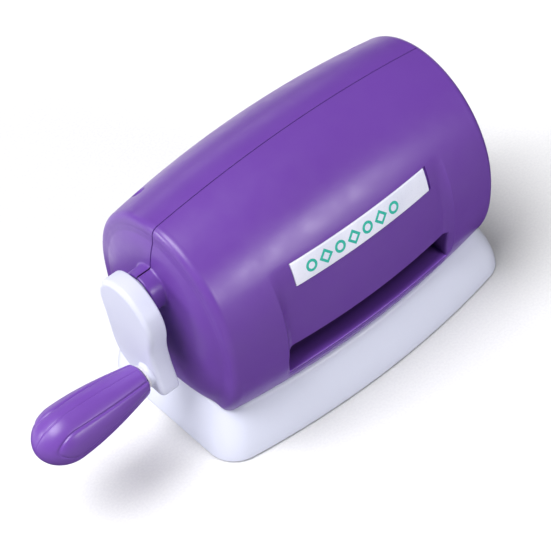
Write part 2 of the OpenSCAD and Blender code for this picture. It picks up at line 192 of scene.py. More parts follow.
def finish_mesh(bm, name, material, body, nodes, sharp=38):
    """Welds, faces outwards, marks sharp edges and makes the piece that stands for CAD nodes."""
    bmesh.ops.remove_doubles(bm, verts=bm.verts, dist=2e-6)
    bmesh.ops.dissolve_degenerate(bm, edges=bm.edges, dist=1e-7)
    bmesh.ops.recalc_face_normals(bm, faces=bm.faces)
    for f in bm.faces:
        f.smooth = True
    limit = math.radians(sharp)
    for e in bm.edges:
        e.smooth = not (len(e.link_faces) == 2 and e.calc_face_angle(0) > limit)
    mesh = bpy.data.meshes.new(name)
    bm.to_mesh(mesh)
    bm.free()
    obj = bpy.data.objects.new(name, mesh)
    bpy.context.scene.collection.objects.link(obj)
    mesh.materials.append(material)
    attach(obj, body)
    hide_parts(*nodes)


# ---------- materials ----------


class Tree:
    """A material's nodes, with short ways to add and join them."""

    def __init__(self, name):
        self.material = bpy.data.materials.new(name)
        self.material.use_nodes = True
        self.nodes = self.material.node_tree.nodes
        self.links = self.material.node_tree.links
        self.shader = next(n for n in self.nodes if n.type == "BSDF_PRINCIPLED")

    def add(self, kind, sockets=(), **settings):
        """New node; a socket's value may be a number or another node's output."""
        node = self.nodes.new(kind)
        for key, value in settings.items():
            setattr(node, key, value)
        for key, value in dict(sockets).items():
            if isinstance(value, bpy.types.NodeSocket):
                self.links.new(value, node.inputs[key])
            else:
                node.inputs[key].default_value = value
        return node

    def noise(self, scale, detail=2.0, stretch=(1, 1, 1), rough=0.5):
        """Noise in the object's own space."""
        place = self.add("ShaderNodeTexCoord")
        if stretch != (1, 1, 1):
            mapped = self.add("ShaderNodeMapping", {"Vector": place.outputs["Object"], "Scale": stretch})
            vector = mapped.outputs[0]
        else:
            vector = place.outputs["Object"]
        node = self.add("ShaderNodeTexNoise", {"Vector": vector, "Scale": scale, "Detail": detail,
                                               "Roughness": rough})
        return node.outputs["Fac"]

    def span(self, value, low, high, start=0.35, end=0.65):
        """Maps start..end of a value onto low..high."""
        node = self.add("ShaderNodeMapRange", {"Value": value, "From Min": start, "From Max": end,
                                               "To Min": low, "To Max": high})
        return node.outputs[0]

    def mix(self, factor, a, b):
        node = self.add("ShaderNodeMix", data_type="RGBA")
        self.join(factor, node.inputs[0])
        self.join(a, node.inputs[6])
        self.join(b, node.inputs[7])
        return node.outputs[2]

    def calc(self, operation, a, b=0.0):
        node = self.add("ShaderNodeMath", operation=operation)
        self.join(a, node.inputs[0])
        self.join(b, node.inputs[1])
        return node.outputs[0]

    def join(self, value, socket):
        if isinstance(value, bpy.types.NodeSocket):
            self.links.new(value, socket)
        else:
            socket.default_value = value

    def bump(self, height, distance, strength=1.0, normal=None):
        sockets = {"Height": height, "Distance": distance, "Strength": strength}
        if normal is not None:
            sockets["Normal"] = normal
        return self.add("ShaderNodeBump", sockets).outputs[0]

    def set(self, **values):
        for key, value in values.items():
            self.join(value, self.shader.inputs[key.replace("_", " ")])
        return self.material


def linear(r, g, b):
    """sRGB out of 255 to the linear colour a shader takes."""
    return tuple((v / 255 / 12.92 if v <= 10.3 else ((v / 255 + 0.055) / 1.055) ** 2.4)
                 for v in (r, g, b)) + (1.0,)


def shade_of(colour, factor):
    """A linear colour made darker or lighter."""
    return tuple(min(1.0, c * factor) for c in colour[:3]) + (1.0,)


PAINTED_SHADE_DEPTH = 8.5       # how far in from the lip the duct gets darker, as painted shade
# shares of the shell's colour at the lip for the duct's walls (painted shade) and its floor (painted
# light), and for all of it further in (painted shade)
LIP_WALLS_PAINTED_SHADE, LIP_FLOOR_PAINTED_LIGHT, DUCT_PAINTED_SHADE = 0.9, 2.1, 0.5


def slot_painted_shade_and_light(t, tone, colour):
    """Paints shade into a tone, deeper inward along the slot's duct, and paints light onto the duct's floor
    near the lip.
    """
    place = t.add("ShaderNodeTexCoord").outputs["Object"]
    x, y, z = t.add("ShaderNodeSeparateXYZ", {"Vector": place}).outputs
    near_end = SLOT_X - 1
    bow = (barrel_y(0, slot_low) - barrel_y(near_end, slot_low)) / near_end ** 2 / MM
    lip = t.calc("SUBTRACT", barrel_y(0, slot_low) * MM, t.calc("MULTIPLY", t.calc("MULTIPLY", x, x), bow))
    depth = t.calc("SUBTRACT", lip, t.calc("ABSOLUTE", y))
    low, high = slot_low + centre_z, slot_high + centre_z
    beside = t.calc("LESS_THAN", t.calc("ABSOLUTE", x), (SLOT_X + 0.2) * MM)
    above = t.calc("GREATER_THAN", z, (low - 0.2) * MM)
    below = t.calc("LESS_THAN", z, (high + 0.2) * MM)
    inside = t.calc("MULTIPLY", beside, t.calc("MULTIPLY", above, below))
    on_floor = t.calc("LESS_THAN", z, (low + 0.4) * MM)
    # painted light on the duct's floor at the lip, slight painted shade on its walls, then painted shade
    # growing inward
    near = t.mix(on_floor, shade_of(colour, LIP_WALLS_PAINTED_SHADE), shade_of(colour, LIP_FLOOR_PAINTED_LIGHT))
    sunk = t.mix(t.span(depth, 0, 1, 0.0, PAINTED_SHADE_DEPTH * MM), near, shade_of(colour, DUCT_PAINTED_SHADE))
    return t.mix(inside, tone, sunk)


def moulded(name, colour, rough, ripple, grain=0.000012, variation=0.04, shine=0.5, painted_light_and_shade=None):
    """Moulded plastic: fine spark-eroded grain, slow waves of tone and patches of gloss."""
    t = Tree(name)
    slow = t.noise(14, 3)
    tone = t.mix(t.span(slow, 0, 1, 0.3, 0.7), shade_of(colour, 1 - variation),
                 shade_of(colour, 1 + variation))
    fine = t.noise(2600, 3, rough=0.6)
    speck = t.mix(t.span(fine, 0, 0.10, 0.4, 0.75), tone, shade_of(colour, 1.25))
    # an optional painted shade and painted light laid over the tone
    if painted_light_and_shade:
        speck = painted_light_and_shade(t, speck, colour)
    gloss = t.span(t.noise(120, 4), rough - 0.03, rough + 0.05)
    t.shader.inputs["Specular IOR Level"].default_value = shine
    normal = t.bump(fine, grain, 0.8, t.bump(t.noise(60, 2), ripple, 0.6))
    return t.set(Base_Color=speck, Roughness=gloss, Normal=normal)


def metal(name, colour, rough, stretch, scale=900, depth=0.000015):
    """Metal with marks drawn out along one way, and faint stains."""
    t = Tree(name)
    marks = t.noise(scale, 4, stretch)
    stain = t.noise(45, 4)
    tone = t.mix(t.span(marks, 0, 1), shade_of(colour, 0.82), shade_of(colour, 1.1))
    tone = t.mix(t.span(stain, 0, 0.35, 0.45, 0.8), tone, shade_of(colour, 0.6))
    t.shader.inputs["Metallic"].default_value = 1.0
    return t.set(Base_Color=tone, Roughness=t.span(marks, rough - 0.08, rough + 0.12),
                 Normal=t.bump(marks, depth, 0.7))


def grainy(name, colour, rough, scale, depth):
    """Unglossy moulding, such as nylon or rubber, with a grain."""
    t = Tree(name)
    grain = t.noise(scale, 5, rough=0.65)
    tone = t.mix(t.span(grain, 0, 1), shade_of(colour, 0.8), shade_of(colour, 1.15))
    dust = t.mix(t.span(t.noise(70, 4), 0, 0.2, 0.5, 0.8), tone, shade_of(colour, 1.5))
    return t.set(Base_Color=dust, Roughness=t.span(grain, rough - 0.06, rough + 0.06),
                 Normal=t.bump(grain, depth, 0.8))


PURPLE = linear(103, 63, 154)
GRIP_PURPLE = linear(110, 69, 162)
WHITE = linear(219, 222, 240)
# the arm's white is the base's white plastic darkened as painted shade, since more light falls on the arm
ARM_WHITE_PAINTED_SHADE = linear(203, 205, 224)
TEAL = linear(38, 178, 160)

# the shell's plastic carries painted shade inside the slot's duct and painted light on the duct's floor
# near its lip
purple_plastic = moulded("purple_plastic", PURPLE, 0.33, 0.000002, painted_light_and_shade=slot_painted_shade_and_light)
grip_plastic = moulded("grip_plastic", GRIP_PURPLE, 0.36, 0.000003)
white_plastic = moulded("white_plastic", WHITE, 0.34, 0.000004, grain=0.000003, variation=0.006)
# the arm's material: white plastic whose colour carries painted shade, with a lower gloss
arm_plastic_painted_shade = moulded("arm_plastic_painted_shade", ARM_WHITE_PAINTED_SHADE, 0.4, 0.000004, grain=0.000003, variation=0.006, shine=0.25)
finishes = {
    "purple_plastic": purple_plastic,
    "grip_plastic": grip_plastic,
    "white_plastic": white_plastic,
    "dark_plastic": grainy("dark_plastic", linear(46, 42, 52), 0.5, 1400, 0.00002),
    "anti_slip_rubber": grainy("anti_slip_rubber", linear(34, 34, 37), 0.75, 900, 0.00005),
    "gear_nylon": grainy("gear_nylon", linear(204, 203, 210), 0.42, 1500, 0.00001),
    "frame_steel": metal("frame_steel", linear(196, 198, 204), 0.36, (1, 1, 30)),
    "bar_steel": metal("bar_steel", linear(190, 192, 196), 0.3, (1, 30, 30)),
    "roller_steel": metal("roller_steel", linear(206, 208, 212), 0.22, (1, 40, 40)),
    "screw_steel": metal("screw_steel", linear(178, 178, 184), 0.34, (20, 20, 1), 1600),
    "bush_bronze": metal("bush_bronze", linear(190, 142, 88), 0.42, (1, 1, 1), 1800),
}


def printed_label():
    """Pale label with a generic row of rings and diamonds; UV is millimetres on the label."""
    t = Tree("label_print")
    uv = t.add("ShaderNodeUVMap", uv_map="millimetres").outputs[0]
    along, y, _ = t.add("ShaderNodeSeparateXYZ", {"Vector": uv}).outputs
    calc = t.calc
    first, pitch, figures = 31.5, 7.4, 7
    ring_r, diamond_r, half_line = 2.1, 2.7, 0.6
    u = calc("DIVIDE", calc("ADD", along, first), pitch)
    cell = calc("FLOOR", u)
    x = calc("MULTIPLY", calc("SUBTRACT", calc("FRACT", u), 0.5), pitch)
    ax, ay = calc("ABSOLUTE", x), calc("ABSOLUTE", y)
    far = calc("SQRT", calc("ADD", calc("MULTIPLY", x, x), calc("MULTIPLY", y, y)))
    ring = calc("ABSOLUTE", calc("SUBTRACT", far, ring_r))
    diamond = calc("MULTIPLY", calc("ABSOLUTE", calc("SUBTRACT", calc("ADD", ax, ay), diamond_r)), 0.75)
    odd = calc("MODULO", cell, 2.0)
    even_part = calc("MULTIPLY", ring, calc("SUBTRACT", 1.0, odd))
    shape = calc("ADD", calc("MULTIPLY", diamond, odd), even_part)
    inside = calc("MULTIPLY", calc("GREATER_THAN", cell, -0.5), calc("LESS_THAN", cell, figures - 0.5))
    ink = calc("MULTIPLY", calc("LESS_THAN", shape, half_line), inside)
    fine = t.noise(1900, 4)
    paper = t.mix(t.span(t.noise(40, 3), 0, 1), linear(214, 216, 232), linear(232, 232, 246))
    teal = t.mix(t.span(fine, 0, 1), shade_of(TEAL, 0.88), shade_of(TEAL, 1.08))
    return t.set(Base_Color=t.mix(ink, paper, teal), Roughness=t.span(fine, 0.26, 0.38),
                 Normal=t.bump(fine, 0.00001, 0.5))


label_print = printed_label()

for name, node in frame["nodes"].items():
    slot_name = next(s["material_slot"] for s in frame["record"]["subparts"] if s["node"] == name)
    node.data.materials.clear()
    node.data.materials.append(finishes.get(slot_name, label_print))

# ---------- shells ----------

SEAM_HALF = 0.32        # half width of the groove between the shells
SEAM_DEEP = 0.5
SEAM_INNER = 1.4        # how far the parting edge goes on inward from the groove
pocket_x = (label_low.x / MM - 0.3, label_high.x / MM + 1.3)
pocket_h = (label_low.z / MM - centre_z - 0.25, label_high.z / MM - centre_z + 0.2)


def half_shell(side):
    """Outer skin of one shell, with its slot, boss, seam edge and foot."""
    front = side < 0
    bm = bmesh.new()

    def place(x, y, h):
        """Point in the frame from x, the distance from the middle and the height."""
        return Vector((x, side * y, h + centre_z)) * MM

    cut = SLOT_X + LIP_R
    marks = [-straight, -48.6, -PANEL_X[1], -cut, -41.5, pocket_x[0] - 0.05, pocket_x[0] + 0.05,
             pocket_x[1] - 0.05, pocket_x[1] + 0.05, 41.5, cut, PANEL_X[1], 48.6, straight]
    columns = ladder(marks, [0.9, 0.35, 0.3, 0.3, 0.8, 0.1, 1.1, 0.1, 0.8, 0.3, 0.3, 0.35, 0.9])
    levels = [pocket_h[1] + 0.05, pocket_h[1] - 0.05, pocket_h[0] + 0.05, pocket_h[0] - 0.05,
              slot_high + LIP_R, slot_low - LIP_R, foot_h + 0.3]
    counts = [52, 1, 14, 1, 36, 18, 22]

    def turns(half_z):
        """Angles of the rows in a section: rows keep to the same height along the barrel."""
        out = [0.0, SEAM_HALF / half_z]
        start = out[-1]
        for level, count in zip(levels, counts):
            end = turn_at(level, half_z)
            out += [start + (end - start) * k / count for k in range(1, count + 1)]
            start = end
        return out

    def skin_row(x, half_y, half_z, at_x=None):
        """One section's points from the seam to the foot, with the panel, the groove and the pocket."""
        row = []
        for t in turns(half_z):
            y, h = section(t, half_y, half_z)
            y -= panel_depth(x, h) + lip_groove(x, h)
            inside = pocket_x[0] < x < pocket_x[1] and pocket_h[0] < h < pocket_h[1]
            if front and inside:
                y -= POCKET
            row.append(place(x if at_x is None else at_x, y, h))
        return row

    def with_edges(row, inward):
        """Adds the seam's groove at the top and the foot's rounded edge at the bottom."""
        row[0] = row[0] + inward * SEAM_DEEP * MM
        deep = row[0] + inward * SEAM_INNER * MM
        foot = row[-1].copy()
        foot.z = (foot_h + centre_z) * MM
        return [deep] + row, foot

    rings = []
    end_hz = half_height(straight)
    for x in columns:
        rings.append((x, skin_row(x, DEPTH * half_height(x), half_height(x)), Vector((0, 0, -1)), 0.0))
    for s in (-1, 1):
        for k in range(1, 9):
            a = math.radians(90 * k / 8)
            cut_in = RIM_R * (1 - math.cos(a))
            x = s * (straight + (RIM_R + RIM_OUT) * math.sin(a))
            row = skin_row(s * straight, DEPTH * end_hz - cut_in, end_hz - cut_in, x)
            inward = Vector((-s * math.sin(a), 0, -math.cos(a)))
            rings.append((x, row, inward, s * math.sin(a)))
    rings.sort(key=lambda r: r[0])

    grid = []
    for _, row, inward, lean in rings:
        row, foot = with_edges(row, inward)
        toward = Vector((-lean, -side * math.sqrt(1 - lean * lean), 0))
        row.append(foot + toward * 0.3 * MM)
        row.append(foot + toward * 2.4 * MM)
        grid.append(row)
    first_row = 2 + sum(counts[:5]) + 1
    last_row = first_row + counts[5]
    xs = [r[0] for r in rings]

    left = min(i for i, x in enumerate(xs) if x > -cut - 1e-6)
    right = max(i for i, x in enumerate(xs) if x < cut + 1e-6)

    def window(x0, h0, half=4.2):
        """Columns and rows round a screw's hole."""
        i0 = max(i for i, x in enumerate(xs) if x < x0 - half)
        i1 = min(i for i, x in enumerate(xs) if x > x0 + half)
        heights = [p.z / MM - centre_z for p in grid[(i0 + i1) // 2]]
        j0 = max(j for j, h in enumerate(heights) if h > h0 + half)
        return i0, i1, j0, min(j for j, h in enumerate(heights) if h < h0 - half)

    holes = [] if front else [(s * x, h) for x, h in SCREWS for s in (-1, 1)]
    windows = [(left, right, first_row, last_row)] + [window(x, h) for x, h in holes]
    add_grid(bm, grid, skip=lambda i, j: any(i0 <= i < i1 and j0 <= j < j1 for i0, i1, j0, j1 in windows))

    def around(i0, i1, j0, j1):
        """Points round a window in the grid, in order."""
        at = [(i, j0) for i in range(i0, i1)] + [(i1, j) for j in range(j0, j1)]
        at += [(i, j1) for i in range(i1, i0, -1)] + [(i0, j) for j in range(j1, j0, -1)]
        return [grid[i][j] for i, j in at]

    def skin_y(x, h):
        """Distance from the middle on the barrel or on its rounded rim."""
        over = max(0.0, abs(x) - straight) / (RIM_R + RIM_OUT)
        cut_in = RIM_R * (1 - math.sqrt(1 - over * over))
        half_z = half_height(min(abs(x), straight))
        return barrel_y(x, h, DEPTH * half_z - cut_in, half_z - cut_in)

    # screw holes: a rounded edge, a bore and a seat round the screw
    shank_r = 2.0
    for (x0, h0), where in zip(holes, windows[1:]):
        start = around(*where)
        angles = [math.atan2(p.z / MM - centre_z - h0, p.x / MM - x0) for p in start]

        def hole_ring(r, sink, deep=0.0):
            """Ring sunk below the skin, or a share of the way in to the screw's seat."""
            ring = []
            for a in angles:
                x, h = x0 + r * math.cos(a), h0 + r * math.sin(a)
                y = skin_y(x, h) - sink
                ring.append(place(x, y + (SEAT_Y - y) * deep, h))
            return ring

        bore = [start]
        for k in range(7):
            a = math.radians(90 * k / 6)
            bore.append(hole_ring(SCREW_R + SCREW_EDGE * (1 - math.sin(a)), SCREW_EDGE * (1 - math.cos(a))))
        bore += [hole_ring(SCREW_R, SCREW_EDGE, k / 6) for k in range(1, 7)]
        bore += [hole_ring(shank_r, SCREW_EDGE, deep) for deep in (1.0, 1.1)]
        add_grid(bm, bore, closed=True)

    # duct of the slot: round the lip, then straight in
    mid_h, half_slot = (slot_low + slot_high) / 2, SLOT_H / 2

    def onto_opening(x, h):
        """Nearest place on the slot's rounded outline."""
        u = max(-SLOT_X, min(SLOT_X, x))
        v = max(-half_slot, min(half_slot, h - mid_h))
        cu, cv = SLOT_X - SLOT_CORNER, half_slot - SLOT_CORNER
        if abs(u) > cu and abs(v) > cv:
            du, dv = abs(u) - cu, abs(v) - cv
            far = math.hypot(du, dv)
            u = math.copysign(cu + du / far * SLOT_CORNER, u)
            v = math.copysign(cv + dv / far * SLOT_CORNER, v)
        return u, v + mid_h

    duct = [around(*windows[0])]
    edge = [(p.x / MM, p.z / MM - centre_z) for p in duct[0]]
    for k in range(1, 7):
        a = math.radians(90 * k / 6)
        ring = []
        for x, h in edge:
            ox, oh = onto_opening(x, h)
            px, ph = x + (ox - x) * math.sin(a), h + (oh - h) * math.sin(a)
            ring.append(place(px, barrel_y(px, ph) - LIP_R * (1 - math.cos(a)), ph))
        duct.append(ring)
    lip = duct[-1]
    for k in range(1, 9):
        duct.append([Vector((p.x, p.y + (side * WALL_Y * MM - p.y) * k / 8, p.z)) for p in lip])
    outer = []
    for p, (x, h) in zip(duct[-1], edge):
        out = Vector((math.copysign(2, x) if abs(x) > SLOT_X - 0.1 else 0, 0,
                      math.copysign(2, h - mid_h) if abs(h - mid_h) > half_slot - 0.1 else 0))
        outer.append(p + out * MM)
    duct.append(outer)
    add_grid(bm, duct, closed=True)

    # end faces: rays from the crank's boss, or from the middle, out to the rim
    for s in (-1, 1):
        boss = s < 0
        rim = [v for x, row, _, _ in rings if abs(x - s * (straight + RIM_R + RIM_OUT)) < 1e-6 for v in row]
        loop = [(side * p.y / MM, p.z / MM - centre_z) for p in rim]
        y_foot, h_foot = loop[-1]
        loop += [(y_foot * (1 - k / 24), h_foot) for k in range(1, 25)]
        ch = boss_h if boss else 0.0
        inner_r = BOSS_R + BOSS_FOOT if boss else 0.4
        angles = [math.atan2(y, h - ch) for y, h in loop]
        angles[0], angles[-1] = 0.0, math.pi
        steps = 44

        def end_point(i, u):
            """Place on the end face at a share of the way out along a ray."""
            y0, h0 = inner_r * math.sin(angles[i]), ch + inner_r * math.cos(angles[i])
            y1, h1 = loop[i]
            y, h = y0 + (y1 - y0) * u, h0 + (h1 - h0) * u
            return s * end_x(y, h), max(0.0, y), h

        def seam(points, inward):
            """Ring with its first and last points sunk into the seam."""
            n = len(points) - 1
            made = []
            for i, (x, y, h) in enumerate(points):
                if i in (1, n - 1):
                    y = SEAM_HALF
                p = place(x, y, h)
                if i in (0, n):
                    p += inward(i) * SEAM_DEEP * MM
                made.append(p)
            first = made[0] + inward(0) * SEAM_INNER * MM
            last = made[-1] + inward(n) * SEAM_INNER * MM
            return [first] + made + [last]

        count = len(loop)
        face = []
        for k in range(steps + 1):
            u = 1 - k / steps
            points = [end_point(i, u) for i in range(count)]
            if k == 0:
                points = [(s * (HALF_LEN + RIM_OUT), y, h) for _, y, h in points]
            face.append(seam(points, lambda i: Vector((-s, 0, 0))))
        if boss:
            reach = -shell_low.x / MM
            base = [end_point(i, 0.0) for i in range(count)]
            # radius, share of the way up the boss, extra height and slope of each ring
            profile = []
            for k in range(1, 8):
                b = math.radians(90 * k / 7)
                profile.append((inner_r - BOSS_FOOT * math.sin(b), None, BOSS_FOOT * (1 - math.cos(b)), b))
            profile += [(BOSS_R, 0.5, 0, math.pi / 2), (BOSS_R, 1.0, 0, math.pi / 2)]
            for k in range(1, 5):
                b = math.radians(90 * k / 4)
                profile.append((BOSS_R - BOSS_EDGE * (1 - math.cos(b)), 1.0, BOSS_EDGE * math.sin(b),
                                math.pi / 2 - b))
            bore_r = BOSS_R - 1.5
            profile += [(bore_r + 0.3, 1.0, BOSS_EDGE, 0), (bore_r, 1.0, BOSS_EDGE - 0.3, -math.pi / 2),
                        (bore_r, 1.0, -BORE_DEEP, -math.pi / 2)]
            for r, share, extra, b in profile:
                points = []
                for i in range(count):
                    y, h = r * math.sin(angles[i]), ch + r * math.cos(angles[i])
                    foot = abs(base[i][0])
                    x = foot + extra if share is None else (
                        foot + BOSS_FOOT + (reach - BOSS_EDGE - foot - BOSS_FOOT) * share + extra)
                    points.append((s * x, max(0.0, y), h))

                def inward(i, b=b):
                    up = 1 if i == 0 else -1
                    return Vector((-s * math.cos(b), 0, -up * math.sin(b)))

                face.append(seam(points, inward))
        made = add_grid(bm, face)
        if not boss:
            bm.faces.new(made[-1])
    return bm


for side, shell in ((-1, "front_shell"), (1, "rear_shell")):
    finish_mesh(half_shell(side), shell + "_skin", purple_plastic, "housing", [shell])

# ---------- label ----------

LABEL_LIFT = 0.3        # how far its face stands out from the barrel
LABEL_EDGE = 0.35       # rounding of its edge
LABEL_T = 0.75          # thickness


def label_mesh():
    """The label's face and sides, following the barrel."""
    bm = bmesh.new()
    uv = bm.loops.layers.uv.new("millimetres")
    low, high = label_low.z / MM - centre_z, label_high.z / MM - centre_z
    x0, x1 = label_low.x / MM, label_high.x / MM

    def drop(v, start, end):
        """How far the rounded edge falls away near an end of the label."""
        d = min(v - start, end - v)
        if d >= LABEL_EDGE:
            return 0.0
        return LABEL_EDGE * (1 - math.sqrt(max(0.0, 1 - (1 - d / LABEL_EDGE) ** 2)))

    xs = ladder([x0, x0 + LABEL_EDGE, x1 - LABEL_EDGE, x1], [0.06, 1.0, 0.06])
    hs = ladder([low, low + LABEL_EDGE, high - LABEL_EDGE, high], [0.06, 0.6, 0.06])
    top = []
    for x in xs:
        row = []
        for h in hs:
            lift = LABEL_LIFT - drop(x, x0, x1) - drop(h, low, high)
            half_z = half_height(x)
            y, _ = section(turn_at(h, half_z), DEPTH * half_z, half_z)
            row.append(Vector((x, -(y - panel_depth(x, h) + lift), h + centre_z)) * MM)
        top.append(row)
    verts = add_grid(bm, top)
    where = {}
    for i, x in enumerate(xs):
        for j, h in enumerate(hs):
            where[verts[i][j]] = (x, h - (low + high) / 2)
    rim = [verts[i][0] for i in range(len(xs))] + [verts[-1][j] for j in range(1, len(hs))]
    rim += [verts[i][-1] for i in range(len(xs) - 2, -1, -1)]
    rim += [verts[0][j] for j in range(len(hs) - 2, 0, -1)]
    under = []
    for v in rim:
        w = bm.verts.new(v.co + Vector((0, 1, 0)) * LABEL_T * MM)
        where[w] = where[v]
        under.append(w)
    n = len(rim)
    for k in range(n):
        bm.faces.new((rim[k], rim[(k + 1) % n], under[(k + 1) % n], under[k]))
    for f in bm.faces:
        for loop in f.loops:
            loop[uv].uv = where[loop.vert]
    return bm


finish_mesh(label_mesh(), "label_strip", label_print, "housing", ["label_plate"], sharp=60)

# ---------- plinth ----------

PLINTH_W = (plinth_high.x - plinth_low.x) / 2 / MM
PLINTH_D = (plinth_high.y - plinth_low.y) / 2 / MM
DECK = plinth_high.z / MM
RIM = plinth_low.z / MM
PLINTH_BOW = 8.5        # how much less deep it is at its ends
PLINTH_LEAN = 8.2       # how far its sides lean in up to the deck
PLINTH_WALL = 3.1
PLINTH_CORNER = 14.0    # radius of its corners at the table
PLINTH_OPEN = 14.0      # inset of the hidden opening in the deck
DECK_EDGE = 9.8         # inset of the deck's flat
INNER_LEVELS = (6, 10, 14, 18)  # heights of the rows inside it


def plinth_ring(inset, z, count=64):
    """Straight ends, bowed front and rear, round corners."""
    r, lean = max(PLINTH_CORNER - inset * 0.3, 1.0), math.radians(80)
    wide, mid = PLINTH_W - inset, PLINTH_D - inset

    def bow(x):
        return mid - PLINTH_BOW * (x / wide) ** 2

    turn_x = wide - r + r * math.cos(lean)
    corner_y = bow(turn_x) - r * math.sin(lean)
    quarter = [(wide, corner_y * k / 14) for k in range(14)]
    for k in range(19):
        a = lean * k / 18
        quarter.append((wide - r + r * math.cos(a), corner_y + r * math.sin(a)))
    quarter += [(turn_x * (1 - k / count), bow(turn_x * (1 - k / count))) for k in range(1, count)]
    back = quarter + [(0.0, mid)] + [(-x, y) for x, y in reversed(quarter[1:])]
    ring = back + [(-x, -y) for x, y in back]
    return [Vector((x, y, z)) * MM for x, y in ring]


def plinth_mesh():
    """Ring after ring: the deck, its edge, the flared side, the foot and the inner side."""
    bm = bmesh.new()
    join, under_deck, edge = DECK - 2.4, DECK - 3.0, 0.8

    def side(z):
        return PLINTH_LEAN * (z / DECK) ** 1.7

    lean = PLINTH_LEAN * 1.7 / DECK * (join / DECK) ** 0.7
    bend = side(join) + lean * (DECK - join)
    rings = [plinth_ring(PLINTH_OPEN, under_deck), plinth_ring(PLINTH_OPEN, DECK), plinth_ring(11.5, DECK)]
    for k in range(0, 9):
        t = k / 8
        inset = DECK_EDGE * (1 - t) ** 2 + 2 * bend * t * (1 - t) + side(join) * t * t
        rings.append(plinth_ring(inset, DECK - (DECK - join) * t * t))
    for k in range(1, 25):
        z = join + (RIM + edge - join) * k / 24
        rings.append(plinth_ring(side(z), z))
    for k in range(1, 5):
        a = math.radians(90 * k / 4)
        rings.append(plinth_ring(edge * (1 - math.cos(a)), RIM + edge - edge * math.sin(a)))
    rings.append(plinth_ring(PLINTH_WALL - 0.2, RIM))
    for z in (RIM + 0.3, *INNER_LEVELS, under_deck - 0.4):
        rings.append(plinth_ring(PLINTH_WALL + side(z), z))
    rings.append(plinth_ring(PLINTH_WALL + side(under_deck) + 1, under_deck))
    rings.append(plinth_ring(PLINTH_OPEN, under_deck))
    add_grid(bm, rings, closed=True)
    return bm


finish_mesh(plinth_mesh(), "plinth_skin", white_plastic, "housing", ["base_plinth"])

# ---------- crank ----------

# the arm's outline from the crank's axis, along Y and Z
ARM_OUTLINE = [(0, 11.6), (-5.9, 10.6), (-11.3, 7.5), (-15.7, 2.5), (-17.7, -3.5), (-17.7, -9),
               (-16.5, -16.5), (-17.1, -24), (-18.7, -31), (-20.2, -37), (-20, -39.6),
               (-17.4, -41.1), (-8, -40.2), (0.4, -38.2), (6.7, -34.2), (10.1, -27.2),
               (11.4, -18.6), (12.8, -9.6), (13.9, -4), (13.5, 1.2), (11, 6.5), (6.4, 10.3)]
ARM_FACE, ARM_BACK = -94.5, -85.5  # its outer and inner faces along X
ARM_EDGE, ARM_BACK_EDGE = 2.3, 1.0  # their rounded edges


def closed_curve(points, steps):
    """Smooth closed curve through the points."""
    n = len(points)
    out = []
    for i in range(n):
        a, b, c, d = (Vector(points[(i + k) % n]) for k in (-1, 0, 1, 2))
        for j in range(steps):
            t = j / steps
            out.append(0.5 * (2 * b + (c - a) * t + (2 * a - 5 * b + 4 * c - d) * t * t
                              + (3 * b - a - 3 * c + d) * t ** 3))
    return out


def even(points, count):
    """The same closed outline with its points evenly spaced."""
    far = [0.0]
    for a, b in zip(points, points[1:] + points[:1]):
        far.append(far[-1] + (b - a).length)
    out, k = [], 0
    for i in range(count):
        want = far[-1] * i / count
        while far[k + 1] < want:
            k += 1
        t = (want - far[k]) / (far[k + 1] - far[k])
        out.append(points[k].lerp(points[(k + 1) % len(points)], t))
    return out


def inset_outline(points, distance):
    """Outline moved in by a distance, in small steps so that tight corners don't fold."""
    steps = max(1, math.ceil(distance / 0.15))
    for _ in range(steps):
        n = len(points)
        moved = []
        for i in range(n):
            along = (points[(i + 1) % n] - points[i - 1]).normalized()
            moved.append(points[i] + Vector((-along.y, along.x)) * distance / steps)
        points = [moved[i] * 0.5 + (moved[i - 1] + moved[(i + 1) % n]) * 0.25 for i in range(n)]
    return points


def arm_mesh():
    """The arm with its hub towards the shell and the collar that the grip's washer sits on."""
    bm = bmesh.new()
    outline = even(closed_curve(ARM_OUTLINE, 12), 220)
    rings = []

    def ring(points, x):
        return [Vector((x, crank_axis.y / MM + p.x, crank_axis.z / MM + p.y)) * MM for p in points]

    def level(x, distance):
        return ring(inset_outline(outline, distance) if distance > 0 else outline, x)

    for k in range(9):
        a = math.radians(90 * k / 8)
        rings.append(level(ARM_BACK - ARM_BACK_EDGE * (1 - math.cos(a)), ARM_BACK_EDGE * (1 - math.sin(a))))
    rings.append(level((ARM_BACK + ARM_FACE) / 2, 0))
    for k in range(11):
        a = math.radians(90 * k / 10)
        rings.append(level(ARM_FACE + ARM_EDGE * (1 - math.sin(a)), ARM_EDGE * (1 - math.cos(a))))
    verts = add_grid(bm, rings, closed=True)
    for row in (verts[0], verts[-1]):
        bm.faces.new(row)

    def tube(profile, cy, cz, count=96):
        """Turned shape along X from places and radii."""
        turned = [[Vector((x, cy + r * math.cos(2 * math.pi * k / count),
                           cz + r * math.sin(2 * math.pi * k / count))) * MM for k in range(count)]
                  for x, r in profile]
        add_grid(bm, turned, closed=True)

    hub = [(4.5, 5.0), (4.5, 7.2), (4.2, 7.5), (0.7, 7.5), (0.3, 7.7), (-0.2, 8.6)]
    tube([(ARM_BACK + out, r) for out, r in hub], crank_axis.y / MM, crank_axis.z / MM)
    end = washer_high.x / MM
    collar = [(ARM_FACE + 0.5, 6.2), (ARM_FACE, 5.7), (ARM_FACE - 0.3, 5.2), (ARM_FACE - 0.8, 4.9),
              (end + 0.3, 4.8), (end, 4.6), (end, 3.0)]
    tube(collar, grip_axis.y / MM, grip_axis.z / MM)
    return bm


finish_mesh(arm_mesh(), "arm_skin", arm_plastic_painted_shade, "crank", ["crank_arm"], sharp=50)

# ---------- grip ----------

